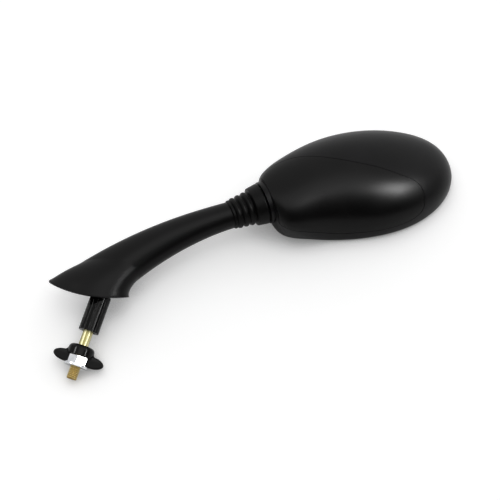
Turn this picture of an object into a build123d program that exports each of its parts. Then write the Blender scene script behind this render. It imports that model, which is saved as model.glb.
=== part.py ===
from build123d import *
import os
from math import atan2, cos, degrees, hypot, pi, radians, sin

os.makedirs("parts", exist_ok=True)

# Left-hand fairing mirror for a motorcycle, in millimetres.
# The origin is where the mounting stud's axis meets the foot's seat.
# Z runs up the stud's axis, X outboard towards the mirror head, Y rearward.

# Seat of the foot: a shallow dish that slopes outboard and leans rearward
seat_radius = 100.0
seat_slope = 11.8
seat_lean = 12.5

# Foot: flared lip with a pointed inboard tip
foot_tip_x = -40.2
foot_heel_x = 19.5
foot_half_depth = 15.6
foot_point = 0.3
foot_wall = 2.6
foot_waist_height = 9.5
foot_waist_tip_x = -29.5
foot_waist_heel_x = 14.6
foot_waist_half_depth = 13.4
foot_flare_growth = 1.1
foot_flare_curl = 0.62
foot_depth_below = 30.0
foot_web_top = 22.0

# Stem: a tapering arc from the foot to the neck
stem_start = (-9.0, 5.5)
stem_end = (71.5, 90.5)
stem_end_radius = 10.4
stem_root_extra = 9.0
stem_root_depth_extra = 3.4
stem_taper_power = 1.4
stem_run_under = -0.12
stem_steps = 5
stem_nose_radius = 8.4
stem_nose_length = 5.0
stem_end_rise = 35.3
stem_lean_power = 3.0
neck_bend = 4.5

# Mounting stud, sleeve, knob and nut, all on the stud's axis
thread_radius = 4.0
shank_radius = 3.65
nut_end_gap = 0.3
stud_end_z = -64.1
stud_chamfer = 0.8
hex_across_flats = 13.0
bolt_head_height = 5.4
sleeve_radius = 7.5
sleeve_bore_radius = 4.6
sleeve_end_z = -27.7
sleeve_spigot_radius = 7.0
sleeve_spigot_length = 7.0
sleeve_flutes = 16
flute_radius = 0.75
flute_depth = 0.45
sleeve_mouth = 0.8
boss_radius = 10.5
knob_top_z = -39.0
knob_boss_radius = 9.6
knob_boss_height = 7.6
knob_span = 37.6
knob_wing_height = 8.6
knob_wing_thickness = 4.6
knob_bottom_z = -53.0
knob_edge_radius = 3.0
knob_web_radius = 2.4
knob_wing_rounding = 1.0
knob_clearance = 0.3
nut_hex_height = 5.8
nut_flange_radius = 8.95
nut_flange_height = 1.8
fit_clearance = 0.05
snug_clearance = 0.02
socket_clearance = 0.1
screw_clearance = 0.15
soft_clearance = 0.3

# Neck: distances along its axis from the stem's end face
ball_distance = 20.0
ball_radius = 7.0
ball_shank_radius = 4.0
ball_shank_depth = 18.0
liner_thickness = 1.2
liner_mouth_angle = 54.0
liner_back_angle = 100.0
socket_wall = 1.9
socket_mouth_angle = 58.0
socket_front = 14.0
spigot_front = 18.5
spigot_wall = 2.2
ring_front = 28.0
ring_back = 31.5
ring_radius = 16.75
bulkhead_back = 37.0
bulkhead_radius = 14.6
flange_thickness = 2.5
flange_flats = ((0.0, 11.6), (37.0, 12.3))
cap_thickness = 2.2
cup_seat_angle = 125.0
cup_back = 29.0
spring_stack = 2.6
spring_count = 3
spring_thickness = 0.6
spring_hole_radius = 4.2
screw_radius = 1.5
screw_head_radius = 2.6
screw_head_height = 2.0
socket_screw_circle = 12.0
socket_screw_length = 11.0
pilot_extra = 0.5

# Bellows: a lip, three ribs and a collar
bellows_wall = 1.5
bellows_front = 0.3
bellows_lip_radius = 11.3
bellows_lip_length = 2.0
rib_start = 4.8
rib_pitch = 4.8
rib_radii = (12.1, 12.7, 13.2)
rib_groove_radius = 10.3
rib_groove_step = 0.45
rib_gap = 0.9
collar_front = 18.6
collar_back = 27.2
collar_front_radius = 15.0
collar_back_radius = 16.3

# Mirror head in its own frame: u along it, v across it, w out of its back
head_distance = 31.0
head_roll = 15.5
head_skew = 15.3
head_skew_reach = 10.2
head_length = 155.0
head_widest = 80.0
head_half_width = 46.2
head_flare_power = 1.72
head_tip_power = 2.1
head_offset = 17.0
head_tip_offset = 23.7
head_offset_reach = 56.0
head_offset_power = 1.08
head_crest = 18.7
head_crest_at = 46.4
head_belt = -22.0
head_belt_reach = 55.0
head_rim = -27.0
head_underside = 36.5
head_underside_reach = 16.7
head_squareness = 2.2
head_steps = 8

# Front cover let into the housing
cover_wall = 2.0
cover_seat_gap = 0.2
cover_floor_wall = 1.8
cover_shut_gap = 0.4
cover_lower_w = -16.0
cover_lower_turn = 60.0
cover_nose_u = 122.4
cover_nose_v = -12.5
cover_nose_turn = 18.0
cover_nose_rise = 11.5
cover_seam = ((-6.0, 16.6), (8.0, 24.2), (22.5, 27.6), (49.3, 22.1), (81.1, 11.8), (102.5, 3.9))
cover_seam_start_slope = 0.55
cover_seam_slope = -0.4
cover_lower_slope = -0.4
cover_lower_start = ((-6.0, 4.0), (5.5, 0.2), (25.0, -6.2), (42.4, -12.6))
cover_boss_radius = 3.2
cover_boss_places = ((34.0, 2.0), (66.0, -5.0), (97.0, -8.0))
cover_boss_drop = 5.0
cover_screw_head_radius = 4.2
cover_screw_length = 7.0

# Glass and the plate that carries it
glass_recess = 0.9
glass_thickness = 2.2
glass_gap = 0.5
pad_thickness = 0.8
pad_inset = 5.0
plate_thickness = 2.0
plate_inset = 2.5
plate_boss_radius = 3.6
plate_boss_places = ((33.0, 33.0), (84.0, 50.0), (126.0, 38.0), (131.0, 6.0))
plate_screw_length = 9.0
plate_screw_sink = 1.3

section_points = 16


def direction(vector):
    return Vector(*vector).normalized()


# Frames: the neck bends off the stem's end, and the head is rolled and skewed on it
stem_axis = direction((cos(radians(stem_end_rise)), 0, sin(radians(stem_end_rise))))
stem_end_point = Vector(stem_end[0], 0, stem_end[1])
stem_up = direction((-sin(radians(stem_end_rise)), 0, cos(radians(stem_end_rise))))
head_out = Vector(0, -1, 0) * cos(radians(head_roll)) + stem_up * sin(radians(head_roll))
stem_side = head_out.cross(stem_axis)
neck_axis = stem_axis * cos(radians(neck_bend)) + stem_side * sin(radians(neck_bend))
neck_side = head_out.cross(neck_axis)
head_along = neck_axis * cos(radians(head_skew)) - neck_side * sin(radians(head_skew))
head_across = head_out.cross(head_along)
head_origin = stem_end_point + neck_axis * head_distance
head_plane = Plane(origin=head_origin, x_dir=head_along, z_dir=head_out)
head_side_plane = Plane(origin=head_origin, x_dir=head_along, z_dir=head_across * -1)
neck_line = Axis(stem_end_point, neck_axis)
neck_profile_plane = Plane(origin=stem_end_point, x_dir=neck_axis, z_dir=neck_side * -1)


def neck_at(distance):
    """Plane across the neck, x across the head, y out of its back."""
    return Plane(origin=stem_end_point + neck_axis * distance, x_dir=neck_side, z_dir=neck_axis)


def closed_face(points):
    """Face inside one smooth closed curve."""
    steps = [index / len(points) for index in range(len(points) + 1)]
    curve = Edge.make_spline([Vector(*point) for point in points], periodic=True, parameters=steps)
    with BuildSketch() as sketch:
        with BuildLine():
            add(curve)
        make_face()
    return sketch.sketch


def power_cosine(angle, power):
    value = cos(angle)
    return abs(value) ** power * (1 if value >= 0 else -1)


def quarter_arch(share, power):
    """Rise of a superellipse's quarter, from 0 at share 0 to 1 at share 1."""
    share = min(max(share, 0.0), 1.0)
    return (1 - (1 - share) ** power) ** (1 / power)


# Stem
chord_x = stem_end[0] - stem_start[0]
chord_z = stem_end[1] - stem_start[1]
start_rise = 2 * degrees(atan2(chord_z, chord_x)) - stem_end_rise
arc_radius = hypot(chord_x, chord_z) / (2 * sin(radians(start_rise - stem_end_rise) / 2))
seat_centre_x = -seat_radius * sin(radians(seat_slope))
seat_centre_z = seat_radius * cos(radians(seat_slope))


def seat_height(x):
    """Height of the seat's dish above the origin's level, on the plane y = 0."""
    return seat_centre_z - (seat_radius**2 - (x - seat_centre_x) ** 2) ** 0.5


def egg_points(half_length, half_depth, point):
    """Closed outline, pointed at its -x end."""
    points = []
    for index in range(section_points):
        angle = 2 * pi * index / section_points
        depth = half_depth * sin(angle) * (1 + point * cos(angle))
        points.append((half_length * cos(angle), depth))
    return points


foot_tip = Vector(foot_tip_x, 0, seat_height(foot_tip_x))
foot_heel = Vector(foot_heel_x, 0, seat_height(foot_heel_x))
foot_x = (foot_heel - foot_tip).normalized()
foot_lean = Vector(0, cos(radians(seat_lean)), sin(radians(seat_lean)))
foot_up = foot_x.cross(foot_lean).normalized()


def foot_section(height, growth, inset):
    """Face of the foot's flare at a height above its seat, with a growth from rim (0) to waist (-1)."""
    tip_x = foot_tip_x + (foot_tip_x - foot_waist_tip_x) * growth
    heel_x = foot_heel_x + (foot_heel_x - foot_waist_heel_x) * growth
    half_depth = foot_half_depth + (foot_half_depth - foot_waist_half_depth) * growth
    middle = (tip_x + heel_x) / 2
    share = (middle - foot_tip_x) / (foot_heel_x - foot_tip_x)
    origin = foot_tip + (foot_heel - foot_tip) * share + foot_up * height
    plane = Plane(origin=origin, x_dir=foot_x, z_dir=foot_up)
    points = egg_points((heel_x - tip_x) / 2 - inset, half_depth - inset, foot_point)
    return plane * closed_face(points)


def stem_section(share):
    """Face across the stem at a share of its length, leaning into the neck's direction at its end."""
    rise = radians(start_rise + (stem_end_rise - start_rise) * share)
    begin = radians(start_rise)
    x = stem_start[0] + arc_radius * (sin(begin) - sin(rise))
    z = stem_start[1] + arc_radius * (cos(rise) - cos(begin))
    taper = (1 - share) ** stem_taper_power
    half_length = stem_end_radius + stem_root_extra * taper
    half_depth = stem_end_radius + stem_root_depth_extra * taper
    lean = radians(neck_bend) * max(share, 0) ** stem_lean_power
    tangent = Vector(cos(rise), 0, sin(rise))
    normal = tangent * cos(lean) + head_out.cross(tangent).normalized() * sin(lean)
    below = Vector(sin(rise), 0, -cos(rise))
    plane = Plane(origin=(x, 0, z), x_dir=below - normal * below.dot(normal), z_dir=normal)
    return plane * closed_face(egg_points(half_length, half_depth, foot_point * taper * taper))


def foot_flare(inset):
    """Solid flare of the foot, from below its seat up to its waist."""
    with BuildPart() as flare:
        loft(
            [
                foot_section(-foot_waist_height * foot_flare_growth / 2, foot_flare_growth, inset),
                foot_section(0, 0, inset),
                foot_section(foot_waist_height / 2, -foot_flare_curl, inset),
                foot_section(foot_waist_height, -1, inset),
            ]
        )
    return flare.part


with BuildPart() as below_seat:
    with BuildSketch(Plane.XZ):
        with Locations(((foot_tip_x + foot_heel_x) / 2, seat_height(foot_heel_x) - foot_depth_below)):
            Rectangle(2 * (foot_heel_x - foot_tip_x), 2 * foot_depth_below + 4 * foot_wall)
        with Locations((seat_centre_x, seat_centre_z)):
            Circle(seat_radius, mode=Mode.SUBTRACT)
    extrude(amount=2 * foot_half_depth, dir=foot_lean, both=True)

with BuildPart() as stem_body:
    spread = 1 - stem_run_under
    waves = [(1 - cos(pi * step / stem_steps)) / 2 for step in range(stem_steps + 1)]
    loft([stem_section(stem_run_under + spread * wave) for wave in waves])
    add(foot_flare(0))
    add(below_seat.part, mode=Mode.SUBTRACT)

with BuildPart() as foot_web:
    Cylinder(boss_radius, foot_web_top, align=(Align.CENTER, Align.CENTER, Align.MIN))
    with Locations((0, 0, foot_wall)):
        Box(foot_heel_x - foot_tip_x, foot_wall, foot_web_top, align=(Align.CENTER, Align.CENTER, Align.MIN))
        Box(foot_wall, 2 * foot_half_depth, foot_web_top, align=(Align.CENTER, Align.CENTER, Align.MIN))
    add(stem_body.part, mode=Mode.INTERSECT)

with BuildPart() as stem:
    add(stem_body.part)
    add(foot_flare(foot_wall), mode=Mode.SUBTRACT)
    add(foot_web.part)
    with BuildSketch(neck_at(-stem_nose_radius / 4)):
        Circle(stem_nose_radius)
    extrude(amount=stem_nose_length + stem_nose_radius / 4)
    with BuildSketch(neck_at(stem_nose_length)):
        Circle(ball_shank_radius + snug_clearance)
    extrude(amount=-stem_nose_length - ball_shank_depth, mode=Mode.SUBTRACT)
    with BuildSketch():
        Circle(sleeve_spigot_radius + snug_clearance)
    extrude(amount=sleeve_spigot_length, both=True, mode=Mode.SUBTRACT)
    with BuildSketch():
        RegularPolygon(hex_across_flats / 2 + fit_clearance, 6, major_radius=False)
    extrude(amount=sleeve_spigot_length + bolt_head_height + fit_clearance, mode=Mode.SUBTRACT)
stem.part.label = "stem"
export_step(stem.part, "parts/stem.step")

# Splined sleeve that indexes the foot in its mounting hole
with BuildPart() as splined_sleeve:
    with BuildSketch(Plane.XY.offset(sleeve_end_z)):
        Circle(sleeve_radius)
        with PolarLocations(sleeve_radius + flute_radius - flute_depth, sleeve_flutes):
            Circle(flute_radius, mode=Mode.SUBTRACT)
    extrude(amount=-sleeve_end_z)
    Cylinder(sleeve_spigot_radius, sleeve_spigot_length, align=(Align.CENTER, Align.CENTER, Align.MIN))
    with BuildSketch(Plane.XY.offset(sleeve_end_z)):
        Circle(sleeve_bore_radius)
    extrude(amount=sleeve_spigot_length - sleeve_end_z, mode=Mode.SUBTRACT)
    end_circles = splined_sleeve.edges().filter_by(GeomType.CIRCLE).group_by(Axis.Z)[0]
    chamfer(end_circles.sort_by(SortBy.RADIUS)[0], sleeve_mouth)
splined_sleeve.part.label = "splined_sleeve"
export_step(splined_sleeve.part, "parts/splined_sleeve.step")

# Mounting stud: hexagon head trapped in the foot, waisted shank, threaded end that is free below the nut
nut_end_z = knob_bottom_z - nut_flange_height
free_thread_z = nut_end_z - nut_end_gap
with BuildPart() as mount_stud:
    with BuildSketch(Plane.XY.offset(sleeve_spigot_length)):
        RegularPolygon(hex_across_flats / 2, 6, major_radius=False)
    extrude(amount=bolt_head_height)
    with BuildSketch(Plane.XY.offset(sleeve_spigot_length)):
        Circle(shank_radius)
    extrude(amount=free_thread_z - sleeve_spigot_length)
    with BuildSketch(Plane.XY.offset(free_thread_z)):
        Circle(thread_radius)
    extrude(amount=stud_end_z - free_thread_z)
    chamfer(mount_stud.faces().sort_by(Axis.Z)[0].edges(), stud_chamfer)
mount_stud.part.label = "mount_stud"
export_step(mount_stud.part, "parts/mount_stud.step")

# Wing knob: a round boss over a slot for the nut, between two leaf-shaped wings with a web above each
wing_middle_z = knob_bottom_z + knob_wing_height / 2
wing_top_z = knob_bottom_z + knob_wing_height
wing_reach = knob_span / 2 - knob_boss_radius
web_end = knob_boss_radius + knob_web_radius
web_drop = knob_wing_height / 2 * (1 - (1 - (knob_web_radius / wing_reach) ** 2) ** 0.5)
web_top_z = wing_top_z - web_drop + knob_web_radius
slot_half_width = hex_across_flats / 2 + fit_clearance
with BuildPart() as knob_wings:
    with BuildSketch(Plane.XZ):
        with Locations((0, wing_middle_z)):
            Rectangle(2 * knob_boss_radius, knob_wing_height)
        with Locations((knob_boss_radius, wing_middle_z), (-knob_boss_radius, wing_middle_z)):
            Ellipse(wing_reach, knob_wing_height / 2)
    extrude(amount=knob_wing_thickness / 2, both=True)
    fillet(knob_wings.faces().filter_by(Axis.Y).edges(), knob_wing_rounding)
    with BuildSketch(Plane.XZ):
        with Locations((0, wing_middle_z)):
            Rectangle(2 * web_end, web_top_z - wing_middle_z, align=(Align.CENTER, Align.MIN))
        with Locations((web_end, web_top_z), (-web_end, web_top_z)):
            Circle(knob_web_radius, mode=Mode.SUBTRACT)
    extrude(amount=knob_wing_thickness / 2 - knob_wing_rounding, both=True)

with BuildPart() as wing_knob:
    with BuildSketch(Plane.XY.offset(knob_top_z)):
        Circle(knob_boss_radius)
    extrude(amount=-knob_boss_height)
    fillet(wing_knob.edges().group_by(Axis.Z)[-1], knob_edge_radius)
    add(knob_wings.part)
    with BuildSketch(Plane.XZ):
        with Locations((0, knob_bottom_z)):
            Rectangle(2 * slot_half_width, 2 * (knob_top_z - knob_boss_height - knob_bottom_z))
    extrude(amount=knob_boss_radius, both=True, mode=Mode.SUBTRACT)
    with BuildSketch(Plane.XY.offset(knob_top_z)):
        Circle(thread_radius + knob_clearance)
    extrude(amount=-knob_boss_height, mode=Mode.SUBTRACT)
wing_knob.part.label = "wing_knob"
export_step(wing_knob.part, "parts/wing_knob.step")

# Flange nut: its hexagon sits in the knob's slot, its flange bears on the wings
with BuildPart() as flange_nut:
    with BuildSketch(Plane.XY.offset(knob_bottom_z)):
        RegularPolygon(hex_across_flats / 2, 6, major_radius=False, rotation=30)
    extrude(amount=nut_hex_height)
    with BuildSketch(Plane.XY.offset(knob_bottom_z)):
        Circle(nut_flange_radius)
    extrude(amount=-nut_flange_height)
    chamfer(flange_nut.edges().filter_by(GeomType.CIRCLE).group_by(Axis.Z)[0], nut_flange_height / 3)
    with BuildSketch(Plane.XY.offset(nut_end_z)):
        Circle(shank_radius + fit_clearance)
    extrude(amount=nut_flange_height + nut_hex_height, mode=Mode.SUBTRACT)
flange_nut.part.label = "flange_nut"
export_step(flange_nut.part, "parts/flange_nut.step")


# Ball joint, turned about the neck's axis
def turned(points):
    """Solid of revolution about the neck, from (distance, radius) corners."""
    with BuildPart() as ring:
        with BuildSketch(neck_profile_plane):
            with BuildLine():
                Polyline(*points, close=True)
            make_face()
        revolve(axis=neck_line)
    return ring.part


def on_ball(radius, angle):
    """Profile point on a sphere about the ball's centre, by angle from the stem's side."""
    return (ball_distance - radius * cos(radians(angle)), radius * sin(radians(angle)))


liner_inside = ball_radius + fit_clearance
liner_outside = liner_inside + liner_thickness
socket_inside = liner_outside + fit_clearance
socket_outside = socket_inside + socket_wall
spigot_inside = socket_outside + socket_clearance
spigot_outside = spigot_inside + spigot_wall
plug_radius = socket_inside - socket_clearance
flange_back = bulkhead_back + flange_thickness
cap_back = flange_back + cap_thickness
spring_back = cup_back + spring_stack

with BuildPart(neck_at(-ball_shank_depth)) as ball_stud:
    shank_length = ball_shank_depth + ball_distance
    Cylinder(ball_shank_radius, shank_length, align=(Align.CENTER, Align.CENTER, Align.MIN))
    with Locations((0, 0, shank_length)):
        Sphere(ball_radius)
ball_stud.part.label = "ball_stud"
export_step(ball_stud.part, "parts/ball_stud.step")

with BuildPart() as ball_liner:
    with BuildSketch(neck_profile_plane):
        with BuildLine():
            angles = (liner_mouth_angle, (liner_mouth_angle + liner_back_angle) / 2, liner_back_angle)
            inner_points = [on_ball(liner_inside, angle) for angle in angles]
            outer_points = [on_ball(liner_outside, angle) for angle in angles]
            ThreePointArc(*inner_points)
            ThreePointArc(*outer_points)
            Line(inner_points[0], outer_points[0])
            Line(inner_points[-1], outer_points[-1])
        make_face()
    revolve(axis=neck_line)
ball_liner.part.label = "ball_liner"
export_step(ball_liner.part, "parts/ball_liner.step")


def flange_trim():
    """Blocks that cut flats on the socket's flange and cap, clear of the cover's floor."""
    size = 3 * bulkhead_radius
    with BuildPart(neck_at(bulkhead_back)) as blocks:
        for turn, distance in flange_flats:
            with Locations(Rotation(0, 0, turn)):
                with Locations((0, distance, 0)):
                    Box(size, size, size, align=(Align.CENTER, Align.MIN, Align.CENTER))
    return blocks.part


def drill(radius, front, back):
    """Pins on the socket's screw circle, to cut holes or make shanks."""
    with BuildPart() as pins:
        with BuildSketch(neck_at(front)):
            with Locations((socket_screw_circle, 0), (-socket_screw_circle, 0), (0, -socket_screw_circle)):
                Circle(radius)
        extrude(amount=back - front)
    return pins.part


mouth = on_ball(socket_inside, socket_mouth_angle)
with BuildPart() as ball_socket:
    with BuildSketch(neck_profile_plane):
        with BuildLine():
            half_angle = (socket_mouth_angle + 90) / 2
            ThreePointArc(mouth, on_ball(socket_inside, half_angle), on_ball(socket_inside, 90))
            Polyline(
                on_ball(socket_inside, 90),
                (flange_back, socket_inside),
                (flange_back, bulkhead_radius),
                (bulkhead_back, bulkhead_radius),
                (bulkhead_back, socket_outside),
                (socket_front, socket_outside),
                (socket_front, mouth[1] + socket_wall / 2),
                mouth,
            )
        make_face()
    revolve(axis=neck_line)
    add(flange_trim(), mode=Mode.SUBTRACT)
    add(drill(screw_radius + screw_clearance, bulkhead_back, flange_back), mode=Mode.SUBTRACT)
ball_socket.part.label = "ball_socket"
export_step(ball_socket.part, "parts/ball_socket.step")

seat_edge = on_ball(liner_inside, cup_seat_angle)
with BuildPart() as pressure_cup:
    with BuildSketch(neck_profile_plane):
        with BuildLine():
            pole = on_ball(liner_inside, 180)
            ThreePointArc(pole, on_ball(liner_inside, (180 + cup_seat_angle) / 2), seat_edge)
            Polyline(seat_edge, (seat_edge[0], plug_radius), (cup_back, plug_radius), (cup_back, 0), pole)
        make_face()
    revolve(axis=neck_line)
pressure_cup.part.label = "pressure_cup"
export_step(pressure_cup.part, "parts/pressure_cup.step")

spring_pitch = spring_stack / spring_count
spring_cone = spring_pitch - spring_thickness
with BuildPart() as disc_springs:
    for index in range(spring_count):
        start = cup_back + index * spring_pitch
        inner_start = start + spring_cone * (index % 2)
        outer_start = start + spring_cone * ((index + 1) % 2)
        add(
            turned(
                [
                    (inner_start, spring_hole_radius),
                    (outer_start, plug_radius),
                    (outer_start + spring_thickness, plug_radius),
                    (inner_start + spring_thickness, spring_hole_radius),
                ]
            )
        )
disc_springs.part.label = "disc_springs"
export_step(disc_springs.part, "parts/disc_springs.step")

with BuildPart() as socket_cap:
    add(
        turned(
            [
                (spring_back, 0),
                (spring_back, plug_radius),
                (flange_back, plug_radius),
                (flange_back, bulkhead_radius),
                (cap_back, bulkhead_radius),
                (cap_back, 0),
            ]
        )
    )
    add(flange_trim(), mode=Mode.SUBTRACT)
    add(drill(screw_radius + screw_clearance, flange_back, cap_back), mode=Mode.SUBTRACT)
socket_cap.part.label = "socket_cap"
export_step(socket_cap.part, "parts/socket_cap.step")

with BuildPart() as socket_screws:
    add(drill(screw_radius, cap_back - socket_screw_length, cap_back))
    add(drill(screw_head_radius, cap_back, cap_back + screw_head_height))
socket_screws.part.label = "socket_screws"
export_step(socket_screws.part, "parts/socket_screws.step")

# Bellows: a lip on the stem's nose, three round ribs and a collar on the neck's spigot
bellows_bore = stem_nose_radius + soft_clearance
collar_bore = spigot_outside + soft_clearance
with BuildPart() as bellows:
    with BuildSketch(neck_profile_plane):
        with BuildLine():
            lip_back = bellows_front + bellows_lip_length
            groove = (lip_back, bellows_lip_radius)
            Polyline((bellows_front, bellows_bore), (bellows_front, bellows_lip_radius), groove)
            for index, rib_radius in enumerate(rib_radii):
                centre = rib_start + index * rib_pitch
                half_rib = (rib_pitch - rib_gap) / 2
                left = (centre - half_rib, rib_groove_radius + index * rib_groove_step)
                right = (centre + half_rib, rib_groove_radius + (index + 1) * rib_groove_step)
                Line(groove, left)
                ThreePointArc(left, (centre, rib_radius), right)
                groove = right
            Polyline(
                groove,
                (collar_front - rib_gap, groove[1]),
                (collar_front, collar_front_radius),
                (collar_back, collar_back_radius),
                (collar_back, collar_bore),
                (spigot_front - soft_clearance, collar_bore),
                (spigot_front - soft_clearance, socket_outside + soft_clearance),
                (socket_front - soft_clearance, socket_outside + soft_clearance),
                (stem_nose_length + soft_clearance, rib_groove_radius - bellows_wall),
                (stem_nose_length + soft_clearance, bellows_bore),
                (bellows_front, bellows_bore),
            )
        make_face()
    revolve(axis=neck_line)
bellows.part.label = "bellows"
export_step(bellows.part, "parts/bellows.step")


# Mirror head: sections along u, from the neck's ring to the tip
neck_radius = ring_radius - fit_clearance


def head_shape(u, inset):
    """Half width, centre, belt, height above and depth below the belt at u, set in by an inset."""
    end = head_length - inset
    tip = 1.0
    if u <= head_widest:
        flare = quarter_arch(u / head_widest, head_flare_power)
        half = neck_radius + (head_half_width - neck_radius) * flare - inset
    else:
        share = (u - head_widest) / (end - head_widest)
        tip = max(1 - share**head_tip_power, 0) ** (1 / head_tip_power)
        half = (head_half_width - inset) * tip
    past = max(u - head_offset_reach, 0) / (head_length - head_offset_reach)
    centre = head_offset * quarter_arch(u / head_offset_reach, head_offset_power)
    centre = centre + (head_tip_offset - head_offset) * past**2
    belt = head_belt * (1 - cos(pi * min(u / head_belt_reach, 1))) / 2
    if u <= head_crest_at:
        crest = neck_radius + (head_crest - neck_radius) * sin(pi / 2 * u / head_crest_at) - inset
    else:
        share = (u - head_crest_at) / (end - head_crest_at)
        crest = head_belt + (head_crest - inset - head_belt) * max(1 - share**2, 0) ** 0.5
    under_flare = quarter_arch(u / head_underside_reach, head_flare_power)
    under = neck_radius + (head_underside - neck_radius) * under_flare
    return half, centre, belt, crest - belt, (under + belt - inset) * tip**0.5


def head_height(u, v, inset):
    """Height w of the head's back at u and v."""
    half, centre, belt, upper, lower = head_shape(u, inset)
    return belt + upper * (1 - (abs(v - centre) / half) ** head_squareness) ** (1 / head_squareness)


def head_section(u, inset):
    """Face across the head at u; near the neck it turns square to the neck's axis."""
    half, centre, belt, upper, lower = head_shape(u, inset)
    skew = radians(head_skew) * max(1 - u / head_skew_reach, 0)
    across = head_across * cos(skew) - head_along * sin(skew)
    along = head_along * cos(skew) + head_across * sin(skew)
    origin = head_origin + head_along * u + head_across * centre + head_out * belt
    points = []
    for index in range(section_points):
        angle = 2 * pi * index / section_points - pi / 2
        rise = power_cosine(angle - pi / 2, 2 / head_squareness)
        height = rise * (upper if rise > 0 else lower)
        points.append((half * power_cosine(angle, 2 / head_squareness), height))
    return Plane(origin=origin, x_dir=across, z_dir=along) * closed_face(points)


def head_body(inset):
    """Solid inside the head's outer skin, set in by an inset, closed below its rim."""
    end = head_length - inset
    stations = [end / 2 * (1 - cos(pi * step / head_steps)) for step in range(head_steps)]
    tip = head_origin + head_along * end + head_across * head_tip_offset + head_out * head_belt
    with BuildPart() as body:
        loft([head_section(u, inset) for u in stations] + [Vertex(*tip)])
    return body.part


def head_slab(low, high):
    """Block across the whole head between two heights."""
    with BuildPart() as slab:
        with BuildSketch(head_plane.offset(low)):
            with Locations((head_length / 2, head_offset)):
                Rectangle(2 * head_length, 6 * head_half_width)
        extrude(amount=high - low)
    return slab.part


def cover_region(grow):
    """Block that holds the front cover: its outline from above, from the side and at the neck."""
    nose_u = cover_nose_u + grow
    low_w = cover_lower_w - grow
    top = 3 * head_crest
    seam_points = [(u, v + grow) for u, v in cover_seam]
    lower_points = [(u, w - grow) for u, w in cover_lower_start] + [(cover_lower_turn, low_w)]
    back_u = cover_seam[0][0]
    with BuildPart() as region:
        with BuildSketch(head_plane.offset(head_rim)):
            with BuildLine():
                seam = Spline(*seam_points, tangents=((1, cover_seam_start_slope), (1, cover_seam_slope)))
                bend = Spline(seam @ 1, (nose_u, cover_nose_v), tangents=((1, cover_seam_slope), (0, -1)))
                Polyline(bend @ 1, (nose_u, -head_length), (back_u, -head_length), seam @ 0)
            make_face()
        extrude(amount=top - head_rim)
        with BuildSketch(head_side_plane):
            with BuildLine():
                lower = Spline(*lower_points, tangents=((1, cover_lower_slope), (1, 0)))
                nose_start = (nose_u - cover_nose_turn, low_w)
                Line(lower @ 1, nose_start)
                nose = Spline(nose_start, (nose_u, low_w + cover_nose_rise), tangents=((1, 0), (0, 1)))
                Polyline(nose @ 1, (nose_u, top), (back_u, top), lower @ 0)
            make_face()
        extrude(amount=2 * head_length, both=True, mode=Mode.INTERSECT)
        with BuildSketch(neck_at(ring_back + cover_shut_gap - grow)):
            Circle(2 * head_length)
        extrude(amount=2 * head_length, mode=Mode.INTERSECT)
    return region.part


def posts(places, radius, low, high):
    """Round posts along w at places in the head's plane, with a low and a high end for each."""
    with BuildPart() as group:
        for place, start, end in zip(places, low, high):
            with BuildSketch(head_plane.offset(start)):
                with Locations(place):
                    Circle(radius)
            extrude(amount=end - start)
    return group.part


def cover_posts(radius, low, high):
    """Posts at the cover's bosses, from one height to another above each boss's end."""
    starts = [end + low for end in cover_boss_low]
    return posts(cover_boss_places, radius, starts, [end + high for end in cover_boss_low])


def plate_posts(radius, low, high):
    """Posts at the plate's bosses, from one height to another."""
    count = len(plate_boss_places)
    return posts(plate_boss_places, radius, [low] * count, [high] * count)


floor_outside = cover_wall + cover_seat_gap
head_wall = floor_outside + cover_floor_wall
glass_bottom = head_rim + glass_recess
pad_bottom = glass_bottom + glass_thickness
plate_bottom = pad_bottom + pad_thickness
plate_top = plate_bottom + plate_thickness
plate_screw_end = plate_bottom + plate_screw_length
plate_sink = plate_bottom + plate_screw_sink
pilot_radius = screw_radius + snug_clearance
cover_boss_low = [head_height(u, v, head_wall) - cover_boss_drop for u, v in cover_boss_places]
cover_boss_height = cover_boss_drop + 2 * head_wall

head_outside = head_body(0)
head_core = head_body(head_wall / 2)

with BuildPart() as front_cover:
    add(head_outside)
    add(head_body(cover_wall), mode=Mode.SUBTRACT)
    add(cover_region(0), mode=Mode.INTERSECT)
    with BuildPart(mode=Mode.ADD):
        add(cover_posts(cover_boss_radius, 0, cover_boss_height))
        add(head_core, mode=Mode.INTERSECT)
    add(cover_posts(pilot_radius, 0, cover_screw_length + pilot_extra), mode=Mode.SUBTRACT)
front_cover.part.label = "front_cover"
export_step(front_cover.part, "parts/front_cover.step")

with BuildPart() as cover_screws:
    add(cover_posts(screw_radius, 0, cover_screw_length))
    add(cover_posts(cover_screw_head_radius, -screw_head_height, 0))
cover_screws.part.label = "cover_screws"
export_step(cover_screws.part, "parts/cover_screws.step")

# Recess in the housing for the cover, down to a floor that carries it
with BuildPart() as cover_recess:
    add(cover_region(cover_shut_gap))
    add(head_body(floor_outside), mode=Mode.SUBTRACT)

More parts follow.
